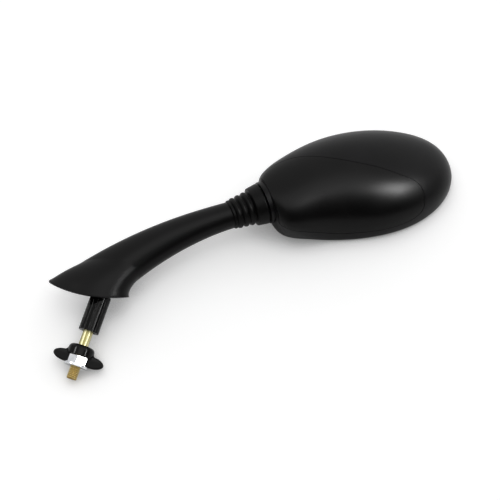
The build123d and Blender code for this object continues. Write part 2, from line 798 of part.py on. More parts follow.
with BuildPart() as housing_shell:
    add(head_outside)
    add(head_body(head_wall), mode=Mode.SUBTRACT)
    with BuildPart(mode=Mode.ADD):
        add(plate_posts(plate_boss_radius, plate_top, head_crest))
        add(head_core, mode=Mode.INTERSECT)
    add(cover_recess.part, mode=Mode.SUBTRACT)
    add(
        turned(
            [
                (spigot_front, spigot_inside),
                (spigot_front, spigot_outside),
                (ring_front, spigot_outside),
                (ring_front, ring_radius),
                (ring_back, ring_radius),
                (ring_back, bulkhead_radius),
                (bulkhead_back, bulkhead_radius),
                (bulkhead_back, spigot_inside),
            ]
        )
    )
    add(head_slab(4 * head_rim, head_rim), mode=Mode.SUBTRACT)
    add(drill(pilot_radius, cap_back - socket_screw_length - pilot_extra, bulkhead_back), mode=Mode.SUBTRACT)
    add(cover_posts(cover_boss_radius + socket_clearance, 0, cover_boss_height), mode=Mode.SUBTRACT)
    add(plate_posts(pilot_radius, plate_top, plate_screw_end + pilot_extra), mode=Mode.SUBTRACT)
housing_shell.part.label = "housing_shell"
export_step(housing_shell.part, "parts/housing_shell.step")

# Mirror glass, the foam tape behind it and the plate that carries both
with BuildPart() as mirror_glass:
    add(head_body(head_wall + glass_gap))
    add(head_slab(glass_bottom, pad_bottom), mode=Mode.INTERSECT)
mirror_glass.part.label = "mirror_glass"
export_step(mirror_glass.part, "parts/mirror_glass.step")

with BuildPart() as adhesive_pad:
    add(head_body(head_wall + glass_gap + pad_inset))
    add(head_slab(pad_bottom, plate_bottom), mode=Mode.INTERSECT)
adhesive_pad.part.label = "adhesive_pad"
export_step(adhesive_pad.part, "parts/adhesive_pad.step")

with BuildPart() as backing_plate:
    add(head_body(head_wall + glass_gap + plate_inset))
    add(head_slab(plate_bottom, plate_top), mode=Mode.INTERSECT)
    add(plate_posts(screw_radius + screw_clearance, plate_bottom, plate_top), mode=Mode.SUBTRACT)
    add(plate_posts(screw_head_radius + screw_clearance, plate_bottom, plate_sink), mode=Mode.SUBTRACT)
backing_plate.part.label = "backing_plate"
export_step(backing_plate.part, "parts/backing_plate.step")

with BuildPart() as plate_screws:
    add(plate_posts(screw_radius, plate_bottom, plate_screw_end))
    add(plate_posts(screw_head_radius, plate_bottom, plate_sink))
plate_screws.part.label = "plate_screws"
export_step(plate_screws.part, "parts/plate_screws.step")
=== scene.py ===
from math import atan2, cos, pi, radians, sin, tan

import bmesh
import bpy
from mathutils import Matrix, Vector


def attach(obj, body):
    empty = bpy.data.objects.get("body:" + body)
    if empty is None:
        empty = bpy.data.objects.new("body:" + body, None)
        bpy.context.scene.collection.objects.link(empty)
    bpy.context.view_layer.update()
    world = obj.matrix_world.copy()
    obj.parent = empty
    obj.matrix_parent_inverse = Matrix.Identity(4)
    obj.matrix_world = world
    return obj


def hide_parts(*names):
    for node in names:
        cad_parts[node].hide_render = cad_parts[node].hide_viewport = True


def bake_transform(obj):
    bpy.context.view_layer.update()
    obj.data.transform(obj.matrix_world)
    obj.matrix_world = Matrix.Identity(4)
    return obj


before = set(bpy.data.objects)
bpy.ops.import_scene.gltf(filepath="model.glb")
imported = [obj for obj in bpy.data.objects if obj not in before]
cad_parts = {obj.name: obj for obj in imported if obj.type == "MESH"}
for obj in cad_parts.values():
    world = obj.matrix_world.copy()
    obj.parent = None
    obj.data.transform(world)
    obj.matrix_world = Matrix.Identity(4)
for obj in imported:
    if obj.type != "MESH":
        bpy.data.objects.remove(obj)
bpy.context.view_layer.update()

# Stem and foot: one arm of black polyamide, moulded hollow under the foot in a
# spark-eroded tool that leaves a fine satin grain. The foot flares in one sweep
# to a rounded lip, which foot_skin lays over the CAD's foot.


class Wire:
    """A socket of a node tree. Operators on it add Math nodes, and node() adds any other node."""

    def __init__(self, tree, socket=None):
        self.tree = tree
        self.socket = socket

    def node(self, kind, settings=(), sockets=(), out=0):
        made = self.tree.nodes.new(kind)
        for name, value in dict(settings).items():
            setattr(made, name, value)
        for name, value in dict(sockets).items():
            if isinstance(value, Wire):
                self.tree.links.new(value.socket, made.inputs[name])
            else:
                made.inputs[name].default_value = value
        return Wire(self.tree, made.outputs[out])

    def math(self, operation, *others):
        values = {place + 1: other for place, other in enumerate(others)}
        return self.node("ShaderNodeMath", {"operation": operation}, {0: self, **values})

    def flipped(self, operation, other):
        return self.node("ShaderNodeMath", {"operation": operation}, {0: other, 1: self})

    def __add__(self, other):
        return self.math("ADD", other)

    def __sub__(self, other):
        return self.math("SUBTRACT", other)

    def __mul__(self, other):
        return self.math("MULTIPLY", other)

    def __truediv__(self, other):
        return self.math("DIVIDE", other)

    def __radd__(self, other):
        return self.flipped("ADD", other)

    def __rsub__(self, other):
        return self.flipped("SUBTRACT", other)

    def __rmul__(self, other):
        return self.flipped("MULTIPLY", other)

    def __rtruediv__(self, other):
        return self.flipped("DIVIDE", other)

    def clamped(self, low, high):
        """0 below low, 1 above high and smooth between."""
        return self.node(
            "ShaderNodeMapRange",
            {"interpolation_type": "SMOOTHSTEP"},
            {"Value": self, "From Min": low, "From Max": high},
        )

    def noise(self, where, scale, detail=2.0, rough=0.5):
        """Noise with about scale lumps to the metre."""
        return self.node(
            "ShaderNodeTexNoise",
            {},
            {"Vector": where, "Scale": scale, "Detail": detail, "Roughness": rough},
        )

    def blend(self, factor, first, second):
        """Colour between two colours, by the Mix node's colour sockets."""
        return self.node(
            "ShaderNodeMix",
            {"data_type": "RGBA"},
            {0: factor, 6: first, 7: second},
            out=2,
        )

    def to(self, shader, name):
        self.tree.links.new(self.socket, shader.inputs[name])


def new_finish(name, **constants):
    """A material with its constants set, its shader and a wire to build on."""
    material = bpy.data.materials.new(name)
    material.use_nodes = True
    shader = material.node_tree.nodes["Principled BSDF"]
    for socket, value in constants.items():
        shader.inputs[socket.replace("_", " ")].default_value = value
    return material, shader, Wire(material.node_tree)


def grain_bump(build, shader, height, strength, depth):
    """Bump from a height wire, depth in metres."""
    bump = build.node(
        "ShaderNodeBump",
        {},
        {"Height": height, "Strength": strength, "Distance": depth},
        out="Normal",
    )
    bump.to(shader, "Normal")


plastic_index = 1.5
plastic_gloss = 0.13
cloud_scale = 38.0
pebble_scale = 900.0
speck_scale = 2600.0
cloud_lift = 1.5
grain_depth = 0.00005


def satin_black(name, colour, roughness, grain, gloss):
    """Black moulded plastic with a spark-eroded grain; gloss is its specular level."""
    material, shader, build = new_finish(name, IOR=plastic_index, Specular_IOR_Level=gloss)
    where = build.node("ShaderNodeTexCoord", out="Object")
    cloud = build.noise(where, cloud_scale, 3.0, 0.55)
    speck = build.noise(where, speck_scale, 1.0, 0.5)
    lifted = tuple(cloud_lift * value for value in colour)
    build.blend(cloud.clamped(0.35, 0.7), colour, lifted).to(shader, "Base Color")
    (roughness - 0.05 + 0.08 * cloud + 0.03 * speck).to(shader, "Roughness")
    grain_bump(build, shader, speck + 0.5 * build.noise(where, pebble_scale), grain, grain_depth)
    return material


def dress(name, material):
    """Give a CAD node its finish."""
    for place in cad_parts[name].material_slots:
        place.material = material


stem_colour = (0.0020, 0.0019, 0.0020, 1.0)
stem_roughness = 0.33
stem_grain = 0.02
stem_black = satin_black("stem_black", stem_colour, stem_roughness, stem_grain, plastic_gloss)
dress("stem", stem_black)

seat_radius = 0.100
seat_slope = radians(11.8)
seat_lean = radians(12.5)
foot_tip_x = -0.0402
foot_heel_x = 0.0195
foot_half_depth = 0.0156
foot_point = 0.3
foot_curl_height = 0.00475
foot_curl = 0.62
foot_waist_tip_x = -0.0295
foot_waist_heel_x = 0.0146
foot_waist_half_depth = 0.0134
rim_growth_limit = 1.1
rim_halvings = 30
stem_start = Vector((-0.0090, 0.0, 0.0055))
stem_end = Vector((0.0715, 0.0, 0.0905))
stem_end_rise = radians(35.3)
stem_end_radius = 0.0104
stem_root_extra = 0.0090
stem_root_depth_extra = 0.0034
stem_taper_power = 1.4
chord = stem_end - stem_start
stem_start_rise = 2 * atan2(chord.z, chord.x) - stem_end_rise
stem_arc = chord.length / (2 * sin((stem_start_rise - stem_end_rise) / 2))
seat_centre = Vector((-seat_radius * sin(seat_slope), 0.0, seat_radius * cos(seat_slope)))


def seat_height(x):
    """Height of the seat's dish above the origin's level, on the plane y = 0."""
    return seat_centre.z - (seat_radius**2 - (x - seat_centre.x) ** 2) ** 0.5


foot_tip = Vector((foot_tip_x, 0.0, seat_height(foot_tip_x)))
foot_heel = Vector((foot_heel_x, 0.0, seat_height(foot_heel_x)))
foot_along = (foot_heel - foot_tip).normalized()
foot_across = Vector((0.0, cos(seat_lean), sin(seat_lean)))
foot_up = foot_along.cross(foot_across)


def flare_point(angle, height, growth):
    """Point on the CAD's flare at a height above its seat; growth is -1 at its waist, 0 at its rim."""
    tip_x = foot_tip_x + (foot_tip_x - foot_waist_tip_x) * growth
    heel_x = foot_heel_x + (foot_heel_x - foot_waist_heel_x) * growth
    half_depth = foot_half_depth + (foot_half_depth - foot_waist_half_depth) * growth
    share = ((tip_x + heel_x) / 2 - foot_tip_x) / (foot_heel_x - foot_tip_x)
    middle = foot_tip + (foot_heel - foot_tip) * share + foot_up * height
    along = (heel_x - tip_x) / 2 * cos(angle)
    across = half_depth * sin(angle) * (1 + foot_point * cos(angle))
    return middle + foot_along * along + foot_across * across


def rim_point(angle):
    """Point where the flare meets the seat's dish, found by halving."""
    low, high = 0.0, rim_growth_limit
    for _ in range(rim_halvings):
        growth = (low + high) / 2
        place = flare_point(angle, -foot_curl_height * growth, growth)
        above_seat = place.z - place.y * tan(seat_lean) - seat_height(place.x)
        low, high = (growth, high) if above_seat > 0 else (low, growth)
    return place


def stem_point(angle, share):
    """Point on the stem's side at a share of its length."""
    rise = stem_start_rise + (stem_end_rise - stem_start_rise) * share
    taper = (1 - share) ** stem_taper_power
    run = Vector((sin(stem_start_rise) - sin(rise), 0.0, cos(rise) - cos(stem_start_rise)))
    middle = stem_start + stem_arc * run
    below = Vector((sin(rise), 0.0, -cos(rise)))
    half_length = stem_end_radius + stem_root_extra * taper
    half_depth = stem_end_radius + stem_root_depth_extra * taper
    across = half_depth * sin(angle) * (1 + foot_point * taper * taper * cos(angle))
    return middle + below * half_length * cos(angle) + Vector((0.0, across, 0.0))


skin_start = 0.14
skin_start_spread = 0.12
skin_front_rise = 0.10
skin_sink = 0.00004
skin_step = 0.01
skin_lead = 0.8
skin_flick = 2.0
skin_swell = 0.0014
skin_swell_turn = radians(245.0)
skin_swell_narrow = 1.2
skin_swell_blunt = 0.7
skin_wall = 0.0013
lip_drop = 0.0011
lip_drop_spread = 0.0007
lip_round = 0.0003
lip_wall = 0.0022
lip_sharp = radians(50.0)
foot_limit_x = -0.04006


def skin_point(angle, share):
    """Point on the foot's sweep, from stem (share 0) to rim (share 1), and the way out of it.

    It leaves along the stem's side, arrives along the flare's curl, and swells at its front.
    """
    start = skin_start + skin_start_spread * cos(angle) + skin_front_rise * max(0.0, -sin(angle))
    side = stem_point(angle, start)
    outward = (side - stem_point(angle + pi, start)).normalized()
    top = side - skin_sink * outward
    rim = rim_point(angle)
    way_down = (stem_point(angle, start - skin_step) - side).normalized()
    lead = way_down * skin_lead * (rim - top).length
    flick = skin_flick * (rim - flare_point(angle, foot_curl_height, -foot_curl))
    from_front = (angle - skin_swell_turn + pi) % (2 * pi) - pi
    front = max(0.0, cos(skin_swell_narrow * from_front)) ** skin_swell_blunt
    swell = skin_swell * front * (4 * share * (1 - share)) ** 2
    place = (2 * share**3 - 3 * share**2 + 1) * top + (share**3 - 2 * share**2 + share) * lead
    place = place + (3 * share**2 - 2 * share**3) * rim + (share**3 - share**2) * flick
    return place + swell * outward, outward


def lip_point(angle, inward, lower):
    """Point on the foot's lip, inward of the rim and at a share of the lip's drop below it."""
    rim = rim_point(angle)
    outward = rim - (foot_tip + foot_heel) / 2
    outward = (outward - outward.dot(foot_up) * foot_up).normalized()
    drop = (lip_drop - lip_drop_spread * cos(angle)) * lower
    return rim - inward * outward - drop * foot_up


def ring_shell(name, rings, material):
    """A closed shell through rings of points, the last ring joined to the first."""
    mesh = bpy.data.meshes.new(name)
    count = len(rings[0])
    corners = [point for ring in rings for point in ring]
    quads = []
    for row in range(len(rings)):
        here = row * count
        after = (row + 1) % len(rings) * count
        for place in range(count):
            beside = (place + 1) % count
            quads.append((here + place, here + beside, after + beside, after + place))
    mesh.from_pydata(corners, [], quads)
    shell = bmesh.new()
    shell.from_mesh(mesh)
    bmesh.ops.recalc_face_normals(shell, faces=shell.faces)
    shell.to_mesh(mesh)
    shell.free()
    mesh.shade_smooth()
    mesh.set_sharp_from_angle(angle=lip_sharp)
    mesh.materials.append(material)
    made = bpy.data.objects.new(name, mesh)
    bpy.context.collection.objects.link(made)
    return made


ring_corners = 144
sweep_rows = 28
inner_rows = 5
turns = [2 * pi * step / ring_corners for step in range(ring_corners)]
rings = []
for row in range(sweep_rows + 1):
    rings.append([skin_point(angle, row / sweep_rows)[0] for angle in turns])
for inward, lower in ((-lip_round, 0.5), (lip_round, 1.0), (lip_wall, 1.0)):
    rings.append([lip_point(angle, inward, lower) for angle in turns])
for row in reversed(range(inner_rows)):
    inner = [skin_point(angle, (row + 0.5) / inner_rows) for angle in turns]
    rings.append([place - skin_wall * outward for place, outward in inner])
for ring in rings:
    for point in ring:
        point.x = max(point.x, foot_limit_x)
foot_skin = ring_shell("foot_skin", rings, stem_black)
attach(foot_skin, "stem")

# Splined sleeve: a glossy black moulding pressed into the foot. Its flutes key
# the mirror in its hole, and faint draw lines run along it from the tool.
sleeve_dark = (0.001, 0.001, 0.001, 1.0)
sleeve_brown = (0.003, 0.0026, 0.0025, 1.0)
draw_line_stretch = 0.03
draw_line_scale = 1400.0
sleeve_gloss, shader, build = new_finish(
    "sleeve_gloss", IOR=plastic_index, Specular_IOR_Level=plastic_gloss
)
where = build.node("ShaderNodeTexCoord", out="Object")
along = build.node(
    "ShaderNodeMapping", {}, {"Vector": where, "Scale": (1.0, 1.0, draw_line_stretch)}
)
draw_lines = build.noise(along, draw_line_scale, 2.0)
build.blend(draw_lines, sleeve_dark, sleeve_brown).to(shader, "Base Color")
(0.08 + 0.06 * draw_lines).to(shader, "Roughness")
grain_bump(build, shader, draw_lines, 0.10, grain_depth)
dress("splined_sleeve", sleeve_gloss)

# Mounting stud: a steel hexagon-head screw with a yellow zinc finish, trapped
# in the foot. The shank is waisted, and the M8 thread is rolled on its end.
stud_head_z = 0.007
stud_head_height = 0.0054
stud_head_flats = 0.0130
stud_head_corner = stud_head_flats / 2 / cos(pi / 6)
stud_shank = 0.00365
thread_crest = 0.004
thread_root = 0.00342
thread_pitch = 0.00125
thread_crest_flat = 0.125
thread_root_flat = 0.25
thread_top_z = -0.0551
stud_end_z = -0.0641
stud_chamfer = 0.0008
seam_gap = 1e-6
end_row_band = 0.49999
fold_sharp = radians(40.0)


def new_geometry(name, sizes):
    """A Geometry Nodes tree with named sizes, and wires to them."""
    tree = bpy.data.node_groups.new(name, "GeometryNodeTree")
    tree.interface.new_socket("Geometry", in_out="OUTPUT", socket_type="NodeSocketGeometry")
    for size, value in sizes.items():
        kind = "NodeSocketInt" if isinstance(value, int) else "NodeSocketFloat"
        tree.interface.new_socket(size, in_out="INPUT", socket_type=kind)
    source = tree.nodes.new("NodeGroupInput")
    return tree, Wire(tree), {size: Wire(tree, source.outputs[size]) for size in sizes}


def lathe_sheet(build, turns, rows, run_from, run_to):
    """A sheet to be rolled up.

    Gives its geometry, the angle round it, the run along it, and 1 on its two end rows.
    """
    sheet = build.node(
        "GeometryNodeMeshGrid",
        {},
        {"Size X": 1.0, "Size Y": 1.0, "Vertices X": turns, "Vertices Y": rows},
        out="Mesh",
    )
    place = build.node("GeometryNodeInputPosition")
    across = build.node("ShaderNodeSeparateXYZ", {}, {"Vector": place}, out="X")
    along = build.node("ShaderNodeSeparateXYZ", {}, {"Vector": place}, out="Y")
    share = along + 0.5
    end_row = (along.math("ABSOLUTE") - end_row_band).math("GREATER_THAN", 0.0)
    return sheet, (across + 0.5) * (2 * pi), run_from + (run_to - run_from) * share, end_row


def roll_up(build, sheet, angle, run, radius):
    """The sheet rolled round the z axis, closed along its seam and at its poles."""
    position = build.node(
        "ShaderNodeCombineXYZ",
        {},
        {"X": radius * angle.math("COSINE"), "Y": radius * angle.math("SINE"), "Z": run},
    )
    rolled = build.node("GeometryNodeSetPosition", {}, {"Geometry": sheet, "Position": position})
    return build.node(
        "GeometryNodeMergeByDistance", {}, {"Geometry": rolled, "Distance": seam_gap}
    )


def close_tree(build, shape, material):
    """End a tree in Realize Instances and Set Material."""
    real = build.node("GeometryNodeRealizeInstances", {}, {"Geometry": shape})
    smooth = build.node("GeometryNodeSetShadeSmooth", {}, {"Geometry": real, "Shade Smooth": True})
    done = build.node("GeometryNodeSetMaterial", {}, {"Geometry": smooth, "Material": material})
    target = build.tree.nodes.new("NodeGroupOutput")
    build.tree.links.new(done.socket, target.inputs["Geometry"])


def grow(name, tree, sizes, placing=None):
    """Run a tree with its sizes and keep the result as a plain mesh, put in place by its points."""
    carrier = bpy.data.objects.new(name + "_tree", bpy.data.meshes.new(name + "_tree"))
    bpy.context.collection.objects.link(carrier)
    modifier = carrier.modifiers.new("tree", "NODES")
    modifier.node_group = tree
    for item in tree.interface.items_tree:
        if item.in_out == "INPUT" and item.name in sizes:
            modifier[item.identifier] = sizes[item.name]
    graph = bpy.context.evaluated_depsgraph_get()
    graph.update()
    mesh = bpy.data.meshes.new_from_object(carrier.evaluated_get(graph))
    bpy.data.objects.remove(carrier)
    if placing:
        mesh.transform(placing)
    mesh.set_sharp_from_angle(angle=fold_sharp)
    made = bpy.data.objects.new(name, mesh)
    bpy.context.collection.objects.link(made)
    return made


zinc_painted_streak_shade = (0.30, 0.27, 0.10, 1.0)
zinc_straw = (0.86, 0.81, 0.50, 1.0)
gold_dull = (0.84, 0.64, 0.24, 1.0)
gold_bright = (0.95, 0.82, 0.44, 1.0)
thread_root_painted_shade = (0.30, 0.20, 0.05, 1.0)
gold_low_z = -0.052
straw_high_z = -0.044
film_scale = 420.0
streak_scale = 700.0
streak_stretch = 0.02
yellow_zinc, shader, build = new_finish("yellow_zinc", Metallic=1.0)
where = build.node("ShaderNodeTexCoord", out="Object")
film = build.noise(where, film_scale, 3.0, 0.6)
drawn = build.node(
    "ShaderNodeMapping", {}, {"Vector": where, "Scale": (1.0, 1.0, streak_stretch)}
)
drawn_streak_and_sheen = build.noise(drawn, streak_scale, 2.0)
# Painted reflection: the shank's colour runs in dark and pale streaks along the stud's axis, standing
# in for the lamp lines its round shank mirrors. The same noise also varies its roughness and bump.
shank_painted_streaks = build.blend(drawn_streak_and_sheen.clamped(0.40, 0.60), zinc_painted_streak_shade, zinc_straw)
height = build.node("ShaderNodeSeparateXYZ", {}, {"Vector": where}, out="Z")
flat = build.node("ShaderNodeMapping", {}, {"Vector": where, "Scale": (1.0, 1.0, 0.0)})
radial = build.node("ShaderNodeVectorMath", {"operation": "LENGTH"}, {0: flat}, out="Value")
crest = build.blend(film.clamped(0.3, 0.7), gold_dull, gold_bright)
# Painted shade: the thread's colour darkens from crest to root, standing in for the shade that falls
# in its grooves.
thread_gold_with_painted_roots = build.blend(radial.clamped(thread_root, thread_crest), thread_root_painted_shade, crest)
build.blend(height.clamped(gold_low_z, straw_high_z), thread_gold_with_painted_roots, shank_painted_streaks).to(shader, "Base Color")
(0.40 + 0.20 * drawn_streak_and_sheen).to(shader, "Roughness")
grain_bump(build, shader, drawn_streak_and_sheen, 0.25, grain_depth)

stud_sizes = {
    "Rows": 560,
    "Turn Points": 49,
    "Shank": stud_shank,
    "Crest": thread_crest,
    "Root": thread_root,
    "Pitch": thread_pitch,
    "Thread Top": thread_top_z,
    "Under Head": stud_head_z,
    "End": stud_end_z,
    "Chamfer": stud_chamfer,
    "Head Corner": stud_head_corner,
    "Head Height": stud_head_height,
}
tree, build, size = new_geometry("rolled_thread", stud_sizes)
sheet, angle, run, end_row = lathe_sheet(
    build, size["Turn Points"], size["Rows"], size["Under Head"], size["End"]
)
root_edge = (1 - thread_root_flat) / 2
flank_width = root_edge - thread_crest_flat / 2
lead = (run / size["Pitch"] + angle / (2 * pi)).math("FRACT")
flank = (root_edge - (lead - 0.5).math("ABSOLUTE")) / flank_width
flank = flank.math("MAXIMUM", 0.0).math("MINIMUM", 1.0)
cut_in = (size["Thread Top"] - run) / size["Pitch"]
cut_in = cut_in.math("MAXIMUM", 0.0).math("MINIMUM", 1.0)
thread = size["Root"] + (size["Crest"] - size["Root"]) * flank
body = size["Shank"] + (thread - size["Shank"]) * cut_in
nose = size["Crest"] - size["Chamfer"] + (run - size["End"])
radius = body.math("MINIMUM", nose) * (1 - end_row)
screw = roll_up(build, sheet, angle, run, radius)
hexagon = build.node(
    "GeometryNodeMeshCylinder",
    {},
    {"Vertices": 6, "Radius": size["Head Corner"], "Depth": size["Head Height"]},
    out="Mesh",
)
lift = build.node("ShaderNodeCombineXYZ", {}, {"Z": size["Under Head"] + size["Head Height"] / 2})
seated = build.node("GeometryNodeTransform", {}, {"Geometry": hexagon, "Translation": lift})
joined = build.node("GeometryNodeJoinGeometry", {}, {"Geometry": screw})
build.tree.links.new(seated.socket, joined.socket.node.inputs["Geometry"])
close_tree(build, joined, yellow_zinc)
stud = grow("threaded_stud", tree, stud_sizes)
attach(stud, "stem")
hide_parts("mount_stud")

# Wing knob: black plastic, glossy on its round boss and duller on the wings
# that fingers rub. It drives the flange nut that is pressed up into its slot.
knob_boss_low = -0.0470
knob_boss_fade = 0.0015
knob_dark = (0.0015, 0.0015, 0.0018, 1.0)
knob_rubbed = (0.0040, 0.0036, 0.0038, 1.0)
rub_scale = 220.0
knob_grain_scale = 1500.0
knob_grain_depth = 0.00006
knob_black, shader, build = new_finish(
    "knob_black", IOR=plastic_index, Specular_IOR_Level=plastic_gloss
)
where = build.node("ShaderNodeTexCoord", out="Object")
rubbed = build.noise(where, rub_scale, 3.0, 0.6)
height = build.node("ShaderNodeSeparateXYZ", {}, {"Vector": where}, out="Z")
boss = height.clamped(knob_boss_low - knob_boss_fade, knob_boss_low + knob_boss_fade)
build.blend(rubbed, knob_dark, knob_rubbed).to(shader, "Base Color")
(0.44 + 0.08 * rubbed - 0.34 * boss).to(shader, "Roughness")
knob_grain = build.noise(where, knob_grain_scale) + rubbed
grain_bump(build, shader, knob_grain, 0.10, knob_grain_depth)
dress("wing_knob", knob_black)

# Flange nut: M8, cold formed in steel with a bright zinc finish, so each flat
# is a soft mirror with a fine crystal mottle and a few wrench rubs.
nut_grey = (0.72, 0.74, 0.78, 1.0)
nut_bright = (0.90, 0.91, 0.92, 1.0)
crystal_scale = 900.0
wrench_scale = 260.0
metal_grain_depth = 0.00004
bright_zinc, shader, build = new_finish("bright_zinc", Metallic=1.0)
where = build.node("ShaderNodeTexCoord", out="Object")
crystal = build.node(
    "ShaderNodeTexVoronoi", {}, {"Vector": where, "Scale": crystal_scale}, out="Distance"
)
rub = build.noise(where, wrench_scale, 4.0, 0.6)
build.blend(rub.clamped(0.3, 0.75), nut_grey, nut_bright).to(shader, "Base Color")
(0.14 + 0.10 * rub + 0.04 * crystal).to(shader, "Roughness")
grain_bump(build, shader, crystal + rub, 0.06, metal_grain_depth)
dress("flange_nut", bright_zinc)

# Ball joint: a plain steel ball on its shank in the stem, an acetal liner and
# pressure cup, three disc springs, and a cast alloy socket with its cap and screws.
steel_dark = (0.40, 0.40, 0.41, 1.0)
steel_light = (0.62, 0.62, 0.63, 1.0)
turning_scale = 700.0
plain_steel, shader, build = new_finish("plain_steel", Metallic=1.0)
where = build.node("ShaderNodeTexCoord", out="Object")
turning = build.noise(where, turning_scale, 2.0)
build.blend(turning, steel_dark, steel_light).to(shader, "Base Color")
(0.22 + 0.15 * turning).to(shader, "Roughness")
grain_bump(build, shader, turning, 0.08, metal_grain_depth)
for name in ("ball_stud", "disc_springs", "socket_screws", "cover_screws", "plate_screws"):
    dress(name, plain_steel)

acetal_index = 1.48
acetal_cream = (0.74, 0.73, 0.68, 1.0)
acetal_white = (0.84, 0.83, 0.79, 1.0)
milk_scale = 160.0
natural_acetal, shader, build = new_finish(
    "natural_acetal", IOR=acetal_index, Subsurface_Weight=0.1
)
where = build.node("ShaderNodeTexCoord", out="Object")
milk = build.noise(where, milk_scale, 2.0)
build.blend(milk, acetal_cream, acetal_white).to(shader, "Base Color")
(0.34 + 0.1 * milk).to(shader, "Roughness")
grain_bump(build, shader, milk, 0.05, grain_depth)
for name in ("ball_liner", "pressure_cup"):
    dress(name, natural_acetal)

alloy_dark = (0.48, 0.48, 0.49, 1.0)
alloy_light = (0.66, 0.66, 0.67, 1.0)
pit_scale = 1200.0
flow_scale = 180.0
pit_depth = 0.00008
cast_alloy, shader, build = new_finish("cast_alloy", Metallic=1.0)
where = build.node("ShaderNodeTexCoord", out="Object")
pits = build.node(
    "ShaderNodeTexVoronoi", {}, {"Vector": where, "Scale": pit_scale}, out="Distance"
)
flow = build.noise(where, flow_scale, 4.0, 0.65)
build.blend(flow, alloy_dark, alloy_light).to(shader, "Base Color")
(0.38 + 0.2 * flow).to(shader, "Roughness")
grain_bump(build, shader, pits + flow, 0.25, pit_depth)
for name in ("ball_socket", "socket_cap"):
    dress(name, cast_alloy)

# Bellows: one moulding of soft black rubber that keeps water out of the ball
# joint. Its lip sits on the stem's nose, three ribs fold as the head is set, and
# its collar is stretched over the housing's spigot.
neck_bend = radians(4.5)
head_roll = radians(15.5)
stem_axis = Vector((cos(stem_end_rise), 0.0, sin(stem_end_rise)))
stem_up = Vector((-sin(stem_end_rise), 0.0, cos(stem_end_rise)))
head_out = Vector((0.0, -cos(head_roll), 0.0)) + sin(head_roll) * stem_up
neck_axis = cos(neck_bend) * stem_axis + sin(neck_bend) * head_out.cross(stem_axis)
neck_side = head_out.cross(neck_axis)
neck_turn = Matrix((neck_side, head_out, neck_axis)).transposed().to_4x4()
neck_placing = Matrix.Translation(stem_end) @ neck_turn

rubber_gloss = 0.10
rubber_dark = (0.0015, 0.0015, 0.0015, 1.0)
rubber_bloom = (0.0035, 0.0034, 0.0033, 1.0)
bloom_scale = 300.0
rubber_grain_scale = 2200.0
rubber_grain_depth = 0.00006
boot_rubber, shader, build = new_finish(
    "boot_rubber", IOR=plastic_index, Specular_IOR_Level=rubber_gloss
)
where = build.node("ShaderNodeTexCoord", out="Object")
bloom = build.noise(where, bloom_scale, 3.0, 0.6)
build.blend(bloom.clamped(0.3, 0.8), rubber_dark, rubber_bloom).to(shader, "Base Color")
(0.32 + 0.12 * bloom).to(shader, "Roughness")
rubber_grain = build.noise(where, rubber_grain_scale) + bloom
grain_bump(build, shader, rubber_grain, 0.14, rubber_grain_depth)

boot_lip = 0.0003
boot_joint = 0.012
boot_collar = 0.0186
boot_end = 0.0268
boot_wall = 0.0012
boot_sizes = {
    "Rows": 150,
    "Turn Points": 97,
    "From": boot_lip,
    "To": boot_joint,
    "Lip Start": boot_lip,
    "Lip Radius": 0.0113,
    "Lip Back": 0.0023,
    "Lip Step": 0.0001,
    "Rib Start": 0.0048,
    "Rib Pitch": 0.0048,
    "Rib Gap": 0.0009,
    "Groove Radius": 0.0103,
    "Groove Growth": 0.094,
    "Rib Height": 0.0016,
    "Rib Growth": 0.02,
    "Collar Front": boot_collar,
    "Collar Step": 0.0009,
    "Collar Front Radius": 0.0150,
    "Collar Back": boot_end,
    "Collar Back Radius": 0.0163,
    "Edge": 0.0008,
}
tree, build, size = new_geometry("boot_ribs", boot_sizes)
sheet, angle, run, end_row = lathe_sheet(
    build, size["Turn Points"], size["Rows"], size["From"], size["To"]
)
past_ribs = run - (size["Rib Start"] - size["Rib Pitch"] / 2)
in_rib = (past_ribs / size["Rib Pitch"]).math("FRACT") * 2.0 - 1.0
reach = in_rib / (1 - size["Rib Gap"] / size["Rib Pitch"])
arch = (1 - reach * reach).math("MAXIMUM", 0.0).math("SQRT")
groove = size["Groove Radius"] + size["Groove Growth"] * past_ribs.math("MAXIMUM", 0.0)
ribs = groove + (size["Rib Height"] + size["Rib Growth"] * past_ribs) * arch
on_lip = (size["Lip Back"] - run).clamped(0 - size["Lip Step"], size["Lip Step"])
lip_edge = (1 - (run - size["Lip Start"]) / size["Edge"]).math("MAXIMUM", 0.0)
lip = size["Lip Radius"] - size["Edge"] * lip_edge * lip_edge
collar_share = (run - size["Collar Front"]) / (size["Collar Back"] - size["Collar Front"])
collar_growth = size["Collar Back Radius"] - size["Collar Front Radius"]
collar = size["Collar Front Radius"] + collar_growth * collar_share
collar_edge = (1 - (size["Collar Back"] - run) / size["Edge"]).math("MAXIMUM", 0.0)
on_collar = (run - size["Collar Front"]).clamped(0 - size["Collar Step"], 0.0)
radius = ribs + (lip - ribs) * on_lip
radius = radius + (collar - size["Edge"] * collar_edge * collar_edge - radius) * on_collar
close_tree(build, roll_up(build, sheet, angle, run, radius), boot_rubber)


def boot_half(name, start, end, rows):
    """One half of the boot with its wall, in place on the neck."""
    half = grow(name, tree, {**boot_sizes, "From": start, "To": end, "Rows": rows}, neck_placing)
    wall = half.modifiers.new("wall", "SOLIDIFY")
    wall.thickness = boot_wall
    wall.offset = -1.0
    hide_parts("bellows")
    return half


half = boot_half("boot_stem_half", boot_lip, boot_joint, 150)
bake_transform(half)
half = boot_half("boot_head_half", boot_joint, boot_end, 190)
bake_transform(half)

